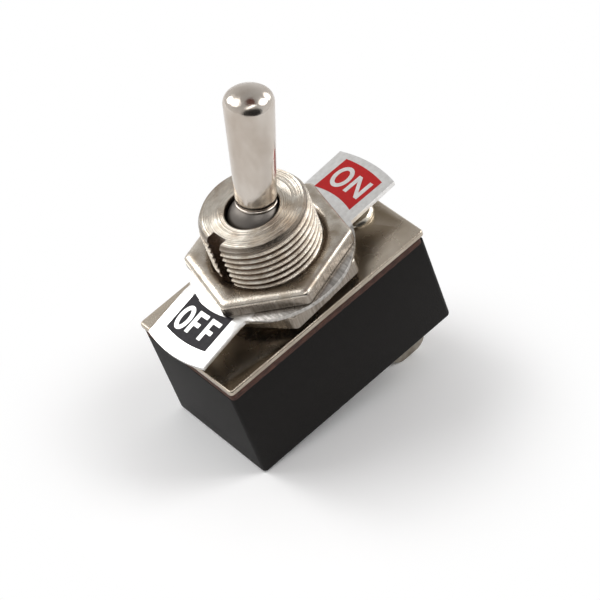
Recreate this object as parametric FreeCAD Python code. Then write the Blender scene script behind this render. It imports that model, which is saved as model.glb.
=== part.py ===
import FreeCAD, Part
import math
import os

from FreeCAD import Vector

# Panel toggle switch, single pole, on and off. All sizes are in millimetres.
# The origin is on the bushing's axis, level with the upper face of the top nut, where the
# free thread begins. +Z runs up the bushing towards the lever. +X points to the ON end of
# the label plate, and the lever is stored leaning that way.

# Bushing thread and its free end
THREAD_R = 5.95
ENGAGED_R = 5.72
FREE_THREAD = 5.41
END_CHAMFER_WIDE = 0.45
END_CHAMFER_HIGH = 0.76
KEYWAY_W = 1.95
KEYWAY_FLOOR_R = 4.55
KEY_TURN = 3.3

# Nuts and the label plate between them
NUT_FLATS = 15.7
TOP_NUT_T = 1.87
TOP_NUT_TURN = 17.8
LOWER_NUT_T = 2.0
LOWER_NUT_TURN = 4.2
NUT_CHAMFER = 0.25
NUT_DISH_R = 6.5
NUT_DISH_DEEP = 0.45
NUT_LIFT = 1.05
HEXAGON_SIDES = 6
LABEL_T = 0.5
LABEL_RIM_INSET = 0.15
LABEL_HOLE_GAP = 0.15
LABEL_TAB_R = 14.95
LABEL_TAB_OFFSET = 0.1
LABEL_ON_W = 8.25
LABEL_OFF_W = 8.7
LABEL_BEND = 10.0
KEY_SIDE_GAP = 0.12
KEY_END_GAP = 0.2

# Frame plate, fibre gasket and moulded case
PLATE_END_OVERHANG = 0.05
PLATE_SIDE_OVERHANG = 0.375
PLATE_T = 0.6
PLATE_CORNER_R = 0.45
PLATE_EDGE_BREAK = 0.15
GASKET_T = 1.05
GASKET_END_INSET = 0.2
GASKET_SIDE_OVERHANG = 0.15
GASKET_SHIFT = -0.15
GASKET_HOLE_GAP = 0.25
CASE_L = 26.9
CASE_W = 14.9
CASE_H = 12.28
CASE_WALL = 1.5
CASE_FLOOR = 1.8
CASE_CORNER_R = 0.5
CASE_BOTTOM_R = 0.5
CAVITY_CORNER_R = 0.6

# Tubular eyelets that clamp plate, gasket and case
EYELET_X = 10.6
EYELET_R = 1.3
EYELET_BORE_R = 0.8
EYELET_HEAD_R = 2.1
EYELET_HEAD_H = 0.6
EYELET_HEAD_BEVEL = 0.1
EYELET_MOUTH_BEVEL = 0.2
EYELET_FLARE_H = 0.45
EYELET_BOSS_R = 2.0

# Bushing foot, staked under the frame plate
SPIGOT_R = 5.2
STAKE_R = 5.8
STAKE_T = 0.5
FOOT_BORE_R = 3.9
FOOT_MOUTH_R = 4.4

# Lever, turned in one piece with its ball, shank and nose
LIP_BORE_R = 2.92
PIVOT_DEEP = 2.36
LEVER_THROW = 16.0
BALL_R = 3.3
SOCKET_GAP = 0.06
LEVER_BASE_R = 2.14
LEVER_WIDE_R = 2.62
LEVER_BASE_UP = 3.0
LEVER_WIDE_UP = 14.8
LEVER_DOME_H = 1.75
LEVER_KNUCKLE_R = 1.3
BEAD_R = 2.2
BEAD_H = 0.34
GROOVE_DEEP = 0.14
GROOVE_H = 0.12
SHANK_R = 1.0
SHANK_ROOT_UP = 3.0
BALL_LOW_UP = 2.1
NOSE_R = 1.5
NOSE_END_UP = 1.1
NOSE_ARM = 13.0
PIVOT_PIN_R = 0.75
PIVOT_PIN_REACH = 3.8
PIN_RUN_GAP = 0.05

# Ball seat, its spring and the ring that holds them in the bushing
SEAT_TOP_DROP = 1.5
SEAT_T = 1.9
SEAT_BORE_R = 2.35
SEAT_SPRING_H = 0.8
SEAT_SPRING_T = 0.3
SEAT_SPRING_BORE_R = 3.05
SEAT_SPRING_GAP = 0.1
RING_T = 0.9
RING_BORE_R = 3.0

# Insulating carriage that the lever's nose shifts along the case
CARRIAGE_L = 8.4
CARRIAGE_H = 7.25
CARRIAGE_SIDE_GAP = 0.15
CARRIAGE_TOP_UP = 1.7
SLOT_GAP = 0.05
SLOT_W = 3.6
SLOT_UNDER = 0.25
RIB_W = 2.4
RIB_GAP = 0.05

# Bridge that the carriage carries, and the contacts that it joins
BRIDGE_END_RIM = 0.05
BRIDGE_W = 2.6
BRIDGE_T = 0.8
BRIDGE_LIFT = 0.5
BRIDGE_POCKET_GAP = 0.1
SPRING_WEB = 0.6
SPRING_BORE_R = 1.35
BRIDGE_SPRING_R = 1.05
BRIDGE_SPRING_WIRE_R = 0.16
BRIDGE_SPRING_TURNS = 2.5
BUTTON_R = 1.0
BUTTON_H = 0.7
BUTTON_STEM_R = 0.5
BUTTON_STEM_DEEP = 1.5
CONTACT_GAP = 0.03

# Terminals, side by side at the ON end
TERMINAL_T = 0.8
TERMINAL_IN_Y = 2.1
TERMINAL_WALL_GAP = 0.2
TERMINAL_ARM_W = 1.2
TERMINAL_INNER_X = -5.4
TERMINAL_PAD_X = -1.9
LUG_W = 4.8
LUG_END_GAP = 0.1
LUG_DOWN = 6.17
LUG_CORNER_R = 1.6
LUG_HOLE_R = 0.9
LUG_HOLE_UP = 2.2
RIVET_TO_LUG = 0.65
RIVET_TO_ROOT = 1.3
RIVET_R = 0.6
RIVET_HEAD_R = 0.9
RIVET_HEAD_H = 0.4

# Clearance of a piece pressed or threaded onto its neighbour
SEATED_GAP = 0.02

# Sizes across that follow from the case and the nuts
NUT_CORNER_R = NUT_FLATS / 2 / math.cos(math.pi / HEXAGON_SIDES)
LABEL_RIM_R = NUT_CORNER_R - LABEL_RIM_INSET
LABEL_BEND_X = NUT_CORNER_R - 2 * NUT_CHAMFER
PLATE_L = CASE_L + 2 * PLATE_END_OVERHANG
PLATE_W = CASE_W + 2 * PLATE_SIDE_OVERHANG
GASKET_L = CASE_L - 2 * GASKET_END_INSET
GASKET_W = CASE_W + 2 * GASKET_SIDE_OVERHANG
CAVITY_L = CASE_L - 2 * CASE_WALL
CAVITY_W = CASE_W - 2 * CASE_WALL
TERMINAL_OUT_Y = CAVITY_W / 2 - TERMINAL_WALL_GAP
TERMINAL_ARM_Y = TERMINAL_OUT_Y - TERMINAL_ARM_W
CONTACT_Y = (TERMINAL_IN_Y + TERMINAL_ARM_Y) / 2
BRIDGE_L = 2 * (CONTACT_Y + BUTTON_R + BRIDGE_END_RIM)
LUG_X = CAVITY_L / 2 - LUG_END_GAP - LUG_W / 2
RIVET_X = LUG_X - LUG_W / 2 - RIVET_TO_LUG
RIVET_Y = (TERMINAL_IN_Y + TERMINAL_T + TERMINAL_OUT_Y) / 2
TERMINAL_ROOT_X = RIVET_X - RIVET_TO_ROOT

# Levels, from the top down
BUSHING_TOP = FREE_THREAD
PIVOT_Z = BUSHING_TOP - PIVOT_DEEP
LABEL_TOP = -TOP_NUT_T
LABEL_BOTTOM = LABEL_TOP - LABEL_T
LOWER_NUT_BOTTOM = LABEL_BOTTOM - LOWER_NUT_T
PLATE_TOP = LOWER_NUT_BOTTOM - NUT_LIFT
PLATE_BOTTOM = PLATE_TOP - PLATE_T
CASE_TOP = PLATE_BOTTOM - GASKET_T
CASE_BOTTOM = CASE_TOP - CASE_H
FLOOR_TOP = CASE_BOTTOM + CASE_FLOOR
TERMINAL_TOP = FLOOR_TOP + TERMINAL_T
FIXED_CONTACT_TOP = TERMINAL_TOP + BUTTON_H
BRIDGE_BOTTOM = FIXED_CONTACT_TOP + CONTACT_GAP + BUTTON_H
BRIDGE_TOP = BRIDGE_BOTTOM + BRIDGE_T
NOSE_LOW_Z = PIVOT_Z - NOSE_ARM
NOSE_HIGH_Z = PIVOT_Z - NOSE_ARM * math.cos(math.radians(LEVER_THROW))
CARRIAGE_TOP = NOSE_LOW_Z + CARRIAGE_TOP_UP
CARRIAGE_BOTTOM = CARRIAGE_TOP - CARRIAGE_H
SLOT_FLOOR = NOSE_LOW_Z - NOSE_R - SLOT_UNDER
RIB_TOP = CARRIAGE_BOTTOM - RIB_GAP
SEAT_TOP = PIVOT_Z - SEAT_TOP_DROP
SEAT_BOTTOM = SEAT_TOP - SEAT_T
RING_TOP = SEAT_BOTTOM - SEAT_SPRING_H
RING_BOTTOM = RING_TOP - RING_T

# Places along the case
NOSE_SWING = NOSE_ARM * math.sin(math.radians(LEVER_THROW))
CARRIAGE_X = -NOSE_SWING
SOCKET_R = BALL_R + SOCKET_GAP
MARGIN = 1.0

SIDES = {"front": -1, "rear": 1}
UP = Vector(0, 0, 1)
CENTRE = Vector(0, 0, 0)


def cylinder(radius, low, high, x=0.0, y=0.0):
    return Part.makeCylinder(radius, high - low, Vector(x, y, low))


def box(x_low, x_high, y_low, y_high, low, high):
    corner = Vector(x_low, y_low, low)
    return Part.makeBox(x_high - x_low, y_high - y_low, high - low, corner)


def centred_box(length, width, low, high, x=0.0, y=0.0):
    return box(x - length / 2, x + length / 2, y - width / 2, y + width / 2, low, high)


def turned(edges):
    """A solid of revolution about Z from a closed loop of edges in the XZ plane."""
    face = Part.Face(Part.Wire(edges))
    solid = face.revolve(CENTRE, UP, 360)
    return solid if solid.Volume > 0 else solid.reversed()


def profile_point(radius, height):
    return Vector(radius, 0, height)


def lines(points):
    """Straight edges through (radius, height) points."""
    vectors = [profile_point(radius, height) for radius, height in points]
    return [Part.makeLine(a, b) for a, b in zip(vectors, vectors[1:])]


def turned_outline(points):
    """A solid of revolution whose section is a closed polygon of (radius, height) points."""
    return turned(lines(points + points[:1]))


def sphere_arc(centre_z, radius, start_height, end_height):
    """The arc of a sphere's section between two heights, on the +X side."""
    heights = (start_height, (start_height + end_height) / 2, end_height)
    points = [
        profile_point(math.sqrt(radius**2 - (height - centre_z) ** 2), height)
        for height in heights
    ]
    return Part.Arc(*points).toShape()


def upright_edges(solid):
    return [edge for edge in solid.Edges if is_upright(edge)]


def is_upright(edge):
    first, last = edge.Vertexes[0].Point, edge.Vertexes[-1].Point
    return abs(first.x - last.x) < 1e-6 and abs(first.y - last.y) < 1e-6


def edges_at(solid, height):
    return [
        edge
        for edge in solid.Edges
        if all(abs(vertex.Z - height) < 1e-6 for vertex in edge.Vertexes)
    ]


def rounded_block(length, width, low, high, corner_r, x=0.0):
    block = centred_box(length, width, low, high, x)
    return block.makeFillet(corner_r, upright_edges(block))


def coil(mean_r, wire_r, low, high, turns, x=0.0):
    """A wire wound about Z between two levels, with a six-sided section for its round one."""
    climb = high - low - 2 * wire_r
    start = Vector(x, 0, low + wire_r)
    helix = Part.makeHelix(climb / turns, climb, mean_r)
    helix.translate(start)
    points = [
        start + Vector(mean_r + wire_r * math.cos(angle), 0, wire_r * math.sin(angle))
        for angle in hexagon_angles(0)
    ]
    section = Part.makePolygon(points)
    return Part.Wire(helix).makePipeShell([section], True, True)


def hexagon_angles(turn):
    """The directions of a hexagon's corners, turned by some degrees, back to the first."""
    step = 360 / HEXAGON_SIDES
    return [math.radians(turn + step * corner) for corner in range(HEXAGON_SIDES + 1)]


def case():
    """Moulded case: open at the top, with a boss at each end for the eyelets."""
    shell = rounded_block(CASE_L, CASE_W, CASE_BOTTOM, CASE_TOP, CASE_CORNER_R)
    shell = shell.makeFillet(CASE_BOTTOM_R, edges_at(shell, CASE_BOTTOM))
    cavity = rounded_block(CAVITY_L, CAVITY_W, FLOOR_TOP, CASE_TOP + MARGIN, CAVITY_CORNER_R)
    shell = shell.cut(cavity)
    for side in (-1, 1):
        shell = shell.fuse(eyelet_boss(side))
    rib = centred_box(2 * EYELET_X, RIB_W, FLOOR_TOP - CASE_FLOOR / 2, RIB_TOP)
    shell = shell.fuse(rib)
    for side in (-1, 1):
        shell = shell.cut(eyelet_hole(side))
    for side in SIDES.values():
        shell = shell.cut(lug_slot(side))
        shell = shell.cut(rivet_hole(side))
        shell = shell.cut(contact_hole(side))
    return shell.removeSplitter()


def eyelet_boss(side):
    boss = cylinder(EYELET_BOSS_R, FLOOR_TOP - CASE_FLOOR / 2, CASE_TOP, side * EYELET_X)
    end = side * (CAVITY_L / 2 + CASE_WALL / 2)
    x_low, x_high = sorted((side * EYELET_X, end))
    web = box(x_low, x_high, -EYELET_BOSS_R, EYELET_BOSS_R, FLOOR_TOP - CASE_FLOOR / 2, CASE_TOP)
    return boss.fuse(web)


def eyelet_hole(side):
    """The hole for an eyelet, through plate, gasket and case."""
    radius = EYELET_R + SEATED_GAP
    return cylinder(radius, CASE_BOTTOM - MARGIN, PLATE_TOP + MARGIN, side * EYELET_X)


def lug_slot(side):
    inner = TERMINAL_IN_Y - SEATED_GAP
    outer = TERMINAL_IN_Y + TERMINAL_T + SEATED_GAP
    y_low, y_high = sorted((side * inner, side * outer))
    half = LUG_W / 2 + SEATED_GAP
    low = CASE_BOTTOM - MARGIN
    return box(LUG_X - half, LUG_X + half, y_low, y_high, low, FLOOR_TOP + MARGIN)


def rivet_hole(side):
    y = side * RIVET_Y
    shaft = cylinder(RIVET_R + SEATED_GAP, CASE_BOTTOM - MARGIN, FLOOR_TOP + MARGIN, RIVET_X, y)
    head = cylinder(
        RIVET_HEAD_R + SEATED_GAP, CASE_BOTTOM - MARGIN, CASE_BOTTOM + RIVET_HEAD_H, RIVET_X, y
    )
    return shaft.fuse(head)


def contact_hole(side):
    low = TERMINAL_TOP - BUTTON_STEM_DEEP - SEATED_GAP
    radius = BUTTON_STEM_R + SEATED_GAP
    return cylinder(radius, low, FLOOR_TOP + MARGIN, CARRIAGE_X, side * CONTACT_Y)


def gasket():
    """Fibre sheet between plate and case, open round the bushing's foot. It sits a little
    towards the OFF end, and its long sides stand out from the case."""
    sheet = rounded_block(
        GASKET_L, GASKET_W, CASE_TOP, PLATE_BOTTOM, CASE_CORNER_R, GASKET_SHIFT
    )
    hole = cylinder(STAKE_R + GASKET_HOLE_GAP, CASE_TOP - MARGIN, PLATE_BOTTOM + MARGIN)
    sheet = sheet.cut(hole)
    for side in (-1, 1):
        sheet = sheet.cut(eyelet_hole(side))
    return sheet


def frame_plate():
    """Stamped plate with its upper edge broken."""
    plate = rounded_block(PLATE_L, PLATE_W, PLATE_BOTTOM, PLATE_TOP, PLATE_CORNER_R)
    plate = plate.makeChamfer(PLATE_EDGE_BREAK, edges_at(plate, PLATE_TOP))
    low, high = PLATE_BOTTOM - MARGIN, PLATE_TOP + MARGIN
    plate = plate.cut(cylinder(SPIGOT_R + SEATED_GAP, low, high))
    for side in (-1, 1):
        plate = plate.cut(eyelet_hole(side))
    return plate


def case_eyelets():
    """Two tubular eyelets with domed heads on the plate and rolled flares below."""
    return Part.makeCompound([eyelet(side * EYELET_X) for side in (-1, 1)])


def eyelet(x):
    head_top = PLATE_TOP + EYELET_HEAD_H
    flare_bottom = CASE_BOTTOM - EYELET_FLARE_H
    flare_r = EYELET_HEAD_R - EYELET_FLARE_H
    tube = turned_outline(
        [
            (EYELET_HEAD_R, PLATE_TOP),
            (EYELET_HEAD_R - EYELET_HEAD_BEVEL, PLATE_TOP + EYELET_HEAD_H / 2),
            (EYELET_HEAD_R - 2 * EYELET_MOUTH_BEVEL, head_top),
            (EYELET_BORE_R + EYELET_MOUTH_BEVEL, head_top),
            (EYELET_BORE_R, head_top - EYELET_MOUTH_BEVEL),
            (EYELET_BORE_R, flare_bottom),
            (flare_r, flare_bottom),
            (flare_r + EYELET_FLARE_H / 2, CASE_BOTTOM),
            (EYELET_R, CASE_BOTTOM),
            (EYELET_R, PLATE_TOP),
        ]
    )
    tube.translate(Vector(x, 0, 0))
    return tube


def bushing():
    """Threaded bushing with a keyway, a ball socket under its lip and a staked foot."""
    chamfer_r = THREAD_R - END_CHAMFER_WIDE
    stake_top = PLATE_BOTTOM
    body = turned_outline(
        [
            (0, BUSHING_TOP),
            (chamfer_r, BUSHING_TOP),
            (THREAD_R, BUSHING_TOP - END_CHAMFER_HIGH),
            (THREAD_R, 0),
            (ENGAGED_R, 0),
            (ENGAGED_R, PLATE_TOP),
            (SPIGOT_R, PLATE_TOP),
            (SPIGOT_R, stake_top),
            (STAKE_R, stake_top),
            (STAKE_R, stake_top - STAKE_T),
            (0, stake_top - STAKE_T),
        ]
    )
    body = body.cut(bushing_bore()).cut(pivot_grooves())
    keyway = box(
        -THREAD_R - MARGIN,
        -KEYWAY_FLOOR_R,
        -KEYWAY_W / 2,
        KEYWAY_W / 2,
        PLATE_TOP,
        BUSHING_TOP + MARGIN,
    )
    keyway.rotate(CENTRE, UP, KEY_TURN)
    return body.cut(keyway)


def bushing_bore():
    """The hollow of the bushing: lip, ball socket, counterbore and flared mouth."""
    lip_z = PIVOT_Z + math.sqrt(SOCKET_R**2 - LIP_BORE_R**2)
    foot = PLATE_BOTTOM - STAKE_T
    edges = [sphere_arc(PIVOT_Z, SOCKET_R, lip_z, PIVOT_Z)]
    edges += lines(
        [
            (SOCKET_R, PIVOT_Z),
            (SOCKET_R, SEAT_TOP),
            (FOOT_BORE_R, SEAT_TOP),
            (FOOT_BORE_R, PLATE_TOP),
            (FOOT_MOUTH_R, foot),
            (FOOT_MOUTH_R, foot - MARGIN),
            (0, foot - MARGIN),
            (0, BUSHING_TOP + MARGIN),
            (LIP_BORE_R, BUSHING_TOP + MARGIN),
            (LIP_BORE_R, lip_z),
        ]
    )
    return turned(edges)


def pivot_grooves():
    """A groove on each side of the socket, open below, where the pivot pin's ends turn."""
    half = PIVOT_PIN_R + PIN_RUN_GAP
    reach = FOOT_BORE_R
    slot = box(-half, half, -reach, reach, SEAT_TOP - MARGIN / 2, PIVOT_Z)
    crown = Part.makeCylinder(half, 2 * reach, Vector(0, -reach, PIVOT_Z), Vector(0, 1, 0))
    return slot.fuse(crown)


def ball_seat():
    """Moulded ring that holds the lever's ball up against the lip."""
    seat_low = PIVOT_Z - math.sqrt(SOCKET_R**2 - SEAT_BORE_R**2)
    seat_rim = math.sqrt(SOCKET_R**2 - SEAT_TOP_DROP**2)
    outer = FOOT_BORE_R - SEATED_GAP
    edges = [sphere_arc(PIVOT_Z, SOCKET_R, SEAT_TOP, seat_low)]
    edges += lines(
        [
            (SEAT_BORE_R, seat_low),
            (SEAT_BORE_R, SEAT_BOTTOM),
            (outer, SEAT_BOTTOM),
            (outer, SEAT_TOP),
            (seat_rim, SEAT_TOP),
        ]
    )
    return turned(edges)


def seat_spring():
    """Dished spring washer: its rim bears on the ring, its inner edge on the seat."""
    low = RING_TOP
    high = SEAT_BOTTOM
    outer = FOOT_BORE_R - SEAT_SPRING_GAP
    return turned_outline(
        [
            (outer, low),
            (outer, low + SEAT_SPRING_T),
            (SEAT_SPRING_BORE_R, high),
            (SEAT_SPRING_BORE_R, high - SEAT_SPRING_T),
        ]
    )


def retaining_ring():
    """Ring pressed into the bushing under the seat's spring."""
    outer = cylinder(FOOT_BORE_R - SEATED_GAP, RING_BOTTOM, RING_TOP)
    return outer.cut(cylinder(RING_BORE_R, RING_BOTTOM - MARGIN, RING_TOP + MARGIN))


def hexagon_prism(corner_r, low, high, turn):
    points = [
        Vector(corner_r * math.cos(angle), corner_r * math.sin(angle), low)
        for angle in hexagon_angles(turn)
    ]
    return Part.Face(Part.makePolygon(points)).extrude(Vector(0, 0, high - low))


def nut(low, high, turn, dish_deep):
    """Hexagon nut with its corners turned off and a dished mouth round the thread."""
    blank = hexagon_prism(NUT_CORNER_R, low, high, turn)
    beyond = NUT_CORNER_R + NUT_CHAMFER
    turned_down = turned_outline(
        [
            (0, low),
            (NUT_CORNER_R - NUT_CHAMFER, low),
            (beyond, low + NUT_CHAMFER),
            (beyond, high - 2 * NUT_CHAMFER),
            (NUT_CORNER_R - 2 * NUT_CHAMFER, high),
            (0, high),
        ]
    )
    bore_r = ENGAGED_R + SEATED_GAP
    blank = blank.common(turned_down)
    blank = blank.cut(cylinder(bore_r, low - MARGIN, high + MARGIN))
    if dish_deep > 0:
        slope = (NUT_DISH_R - bore_r) / dish_deep
        over = MARGIN * slope
        dish = turned_outline(
            [
                (0, high - dish_deep),
                (bore_r, high - dish_deep),
                (NUT_DISH_R, high),
                (NUT_DISH_R + over, high + MARGIN),
                (0, high + MARGIN),
            ]
        )
        blank = blank.cut(dish)
    return blank


def label_plate():
    """Stamped label plate: a rim, a tab each way and a key tooth, with the OFF tab bent down."""
    disc = cylinder(LABEL_TAB_R, LABEL_BOTTOM, LABEL_TOP)
    on_tab = disc.common(label_strip(0, LABEL_TAB_R, LABEL_ON_W))
    off_root = label_strip(-LABEL_BEND_X, 0, LABEL_OFF_W)
    off_tab = disc.common(label_strip(-LABEL_TAB_R, -LABEL_BEND_X, LABEL_OFF_W))
    off_tab.rotate(Vector(-LABEL_BEND_X, 0, LABEL_TOP), Vector(0, 1, 0), -LABEL_BEND)
    plate = cylinder(LABEL_RIM_R, LABEL_BOTTOM, LABEL_TOP)
    plate = plate.fuse(on_tab).fuse(off_root).fuse(off_tab)
    hole = cylinder(THREAD_R + LABEL_HOLE_GAP, LABEL_BOTTOM - MARGIN, LABEL_TOP + MARGIN)
    tooth = box(
        -LABEL_RIM_R,
        -KEYWAY_FLOOR_R - KEY_END_GAP,
        -KEYWAY_W / 2 + KEY_SIDE_GAP,
        KEYWAY_W / 2 - KEY_SIDE_GAP,
        LABEL_BOTTOM - MARGIN,
        LABEL_TOP + MARGIN,
    )
    plate = plate.cut(hole.cut(tooth)).removeSplitter()
    plate.rotate(CENTRE, UP, KEY_TURN)
    return plate


def label_strip(x_low, x_high, width):
    """A piece of a tab, which lies a little to the rear of the label plate's middle."""
    y_low = LABEL_TAB_OFFSET - width / 2
    return box(x_low, x_high, y_low, y_low + width, LABEL_BOTTOM, LABEL_TOP)


def domed_end(rim_r, rim_z, rise, knuckle_r):
    """The section of a domed end: a knuckle arc at the rim, tangent to a flatter crown."""
    inset = rim_r - knuckle_r
    crown_r = (inset**2 + rise**2 - knuckle_r**2) / (2 * (rise - knuckle_r))
    crown_z = rim_z + rise - crown_r
    lean = math.atan2(inset, rim_z - crown_z)
    meet = profile_point(crown_r * math.sin(lean), crown_z + crown_r * math.cos(lean))
    half_turn = (math.pi / 2 - lean) / 2
    knuckle_middle = profile_point(
        inset + knuckle_r * math.cos(half_turn), rim_z + knuckle_r * math.sin(half_turn)
    )
    crown_middle = profile_point(
        crown_r * math.sin(lean / 2), crown_z + crown_r * math.cos(lean / 2)
    )
    rim = profile_point(rim_r, rim_z)
    top = profile_point(0, rim_z + rise)
    knuckle = Part.Arc(rim, knuckle_middle, meet).toShape()
    crown = Part.Arc(meet, crown_middle, top).toShape()
    return [knuckle, crown]


def lever():
    """Bat lever with a domed end, a beaded neck, its ball, a slim shank and a round nose."""
    bead_low = LEVER_BASE_UP - GROOVE_H - BEAD_H
    groove_r = LEVER_BASE_R - GROOVE_DEEP
    nose_end = -NOSE_ARM - NOSE_END_UP
    nose_shank_z = -NOSE_ARM + math.sqrt(NOSE_R**2 - SHANK_R**2)
    edges = lines([(0, nose_end), (math.sqrt(NOSE_R**2 - NOSE_END_UP**2), nose_end)])
    edges += [sphere_arc(-NOSE_ARM, NOSE_R, nose_end, nose_shank_z)]
    ball_low_r = math.sqrt(BALL_R**2 - BALL_LOW_UP**2)
    edges += lines(
        [(SHANK_R, nose_shank_z), (SHANK_R, -SHANK_ROOT_UP), (ball_low_r, -BALL_LOW_UP)]
    )
    edges += [sphere_arc(0, BALL_R, -BALL_LOW_UP, bead_low)]
    edges += lines(
        [
            (math.sqrt(BALL_R**2 - bead_low**2), bead_low),
            (BEAD_R, bead_low),
            (BEAD_R, bead_low + BEAD_H),
            (groove_r, bead_low + BEAD_H),
            (groove_r, LEVER_BASE_UP),
            (LEVER_BASE_R, LEVER_BASE_UP),
            (LEVER_WIDE_R, LEVER_WIDE_UP),
        ]
    )
    edges += domed_end(LEVER_WIDE_R, LEVER_WIDE_UP, LEVER_DOME_H, LEVER_KNUCKLE_R)
    edges += lines([(0, LEVER_WIDE_UP + LEVER_DOME_H), (0, nose_end)])
    bat = turned(edges)
    hole_half = BALL_R + MARGIN
    hole = Part.makeCylinder(
        PIVOT_PIN_R + SEATED_GAP, 2 * hole_half, Vector(0, -hole_half, 0), Vector(0, 1, 0)
    )
    bat = bat.cut(hole)
    bat.rotate(CENTRE, Vector(0, 1, 0), LEVER_THROW)
    bat.translate(Vector(0, 0, PIVOT_Z))
    return bat


def pivot_pin():
    start = Vector(0, -PIVOT_PIN_REACH, PIVOT_Z)
    return Part.makeCylinder(PIVOT_PIN_R, 2 * PIVOT_PIN_REACH, start, Vector(0, 1, 0))


def carriage():
    """Moulded carriage: a slot for the lever's nose above, a pocket for the bridge below."""
    width = CAVITY_W - 2 * CARRIAGE_SIDE_GAP
    x = CARRIAGE_X
    block = centred_box(CARRIAGE_L, width, CARRIAGE_BOTTOM, CARRIAGE_TOP, x)
    slot_l = 2 * (NOSE_R + SLOT_GAP)
    slot = centred_box(slot_l, SLOT_W, SLOT_FLOOR, CARRIAGE_TOP + MARGIN, x)
    pocket_top = BRIDGE_TOP + BRIDGE_LIFT + BRIDGE_POCKET_GAP
    pocket = centred_box(
        BRIDGE_W + 2 * BRIDGE_POCKET_GAP,
        BRIDGE_L + 2 * BRIDGE_POCKET_GAP,
        CARRIAGE_BOTTOM - MARGIN,
        pocket_top,
        x,
    )
    spring_bore = cylinder(SPRING_BORE_R, pocket_top - MARGIN / 2, spring_roof(), x)
    return block.cut(slot).cut(pocket).cut(spring_bore)


def spring_roof():
    """The level of the carriage's web that the bridge's spring pushes against."""
    return SLOT_FLOOR - SPRING_WEB


def bridge_bar():
    bar = centred_box(BRIDGE_W, BRIDGE_L, BRIDGE_BOTTOM, BRIDGE_TOP, CARRIAGE_X)
    bar = bar.makeFillet(BRIDGE_T / 4, upright_edges(bar))
    for side in SIDES.values():
        y = side * CONTACT_Y
        radius = BUTTON_STEM_R + SEATED_GAP
        bar = bar.cut(cylinder(radius, BRIDGE_BOTTOM - MARGIN, BRIDGE_TOP + MARGIN, CARRIAGE_X, y))
    return bar


def contact_button(face_z, back_z, stem_z, y):
    """A contact with a bevelled face, and a stem through what carries it."""
    bevel = (back_z - face_z) / 4
    button = turned_outline(
        [
            (0, face_z),
            (BUTTON_R - abs(bevel), face_z),
            (BUTTON_R, face_z + bevel),
            (BUTTON_R, back_z),
            (BUTTON_STEM_R, back_z),
            (BUTTON_STEM_R, stem_z),
            (0, stem_z),
        ]
    )
    button.translate(Vector(CARRIAGE_X, y, 0))
    return button


def bridge_contacts():
    face = BRIDGE_BOTTOM - BUTTON_H
    buttons = [
        contact_button(face, BRIDGE_BOTTOM, BRIDGE_TOP, side * CONTACT_Y)
        for side in SIDES.values()
    ]
    return Part.makeCompound(buttons)


def fixed_contacts():
    stem = TERMINAL_TOP - BUTTON_STEM_DEEP
    buttons = [
        contact_button(FIXED_CONTACT_TOP, TERMINAL_TOP, stem, side * CONTACT_Y)
        for side in SIDES.values()
    ]
    return Part.makeCompound(buttons)


def bridge_spring():
    low = BRIDGE_TOP + SEATED_GAP
    high = spring_roof() - SEATED_GAP
    return coil(
        BRIDGE_SPRING_R, BRIDGE_SPRING_WIRE_R, low, high, BRIDGE_SPRING_TURNS, CARRIAGE_X
    )


def terminal(side):
    """Strip along the case's floor, clear of the bridge, with its lug bent down."""
    x_high = LUG_X + LUG_W / 2
    outline = [
        (TERMINAL_INNER_X, TERMINAL_IN_Y),
        (TERMINAL_PAD_X, TERMINAL_IN_Y),
        (TERMINAL_PAD_X, TERMINAL_ARM_Y),
        (TERMINAL_ROOT_X, TERMINAL_ARM_Y),
        (TERMINAL_ROOT_X, TERMINAL_IN_Y),
        (x_high, TERMINAL_IN_Y),
        (x_high, TERMINAL_OUT_Y),
        (TERMINAL_INNER_X, TERMINAL_OUT_Y),
        (TERMINAL_INNER_X, TERMINAL_IN_Y),
    ]
    points = [Vector(x, side * y, FLOOR_TOP) for x, y in outline]
    strip = Part.Face(Part.makePolygon(points)).extrude(Vector(0, 0, TERMINAL_T))
    inner, outer = sorted((side * TERMINAL_IN_Y, side * (TERMINAL_IN_Y + TERMINAL_T)))
    lug_end = CASE_BOTTOM - LUG_DOWN
    lug = box(LUG_X - LUG_W / 2, x_high, inner, outer, lug_end, TERMINAL_TOP)
    lug = lug.makeFillet(LUG_CORNER_R, lug_tip_edges(lug, lug_end))
    hole = Part.makeCylinder(
        LUG_HOLE_R,
        2 * TERMINAL_OUT_Y,
        Vector(LUG_X, -TERMINAL_OUT_Y, lug_end + LUG_HOLE_UP),
        Vector(0, 1, 0),
    )
    piece = strip.fuse(lug.cut(hole)).removeSplitter()
    low, high = FLOOR_TOP - MARGIN, TERMINAL_TOP + MARGIN
    piece = piece.cut(cylinder(RIVET_R + SEATED_GAP, low, high, RIVET_X, side * RIVET_Y))
    stem_r = BUTTON_STEM_R + SEATED_GAP
    return piece.cut(cylinder(stem_r, low, high, CARRIAGE_X, side * CONTACT_Y))


def lug_tip_edges(lug, lug_end):
    """The two short edges across the lug's thickness at its lower end."""
    return [
        edge
        for edge in edges_at(lug, lug_end)
        if abs(edge.Length - TERMINAL_T) < 1e-6
    ]


def terminal_rivets():
    return Part.makeCompound([terminal_rivet(side * RIVET_Y) for side in SIDES.values()])


def terminal_rivet(y):
    shaft = cylinder(RIVET_R, CASE_BOTTOM, TERMINAL_TOP, RIVET_X, y)
    top = cylinder(RIVET_HEAD_R, TERMINAL_TOP, TERMINAL_TOP + RIVET_HEAD_H, RIVET_X, y)
    bottom = cylinder(RIVET_HEAD_R, CASE_BOTTOM, CASE_BOTTOM + RIVET_HEAD_H, RIVET_X, y)
    return shaft.fuse(top).fuse(bottom).removeSplitter()


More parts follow.
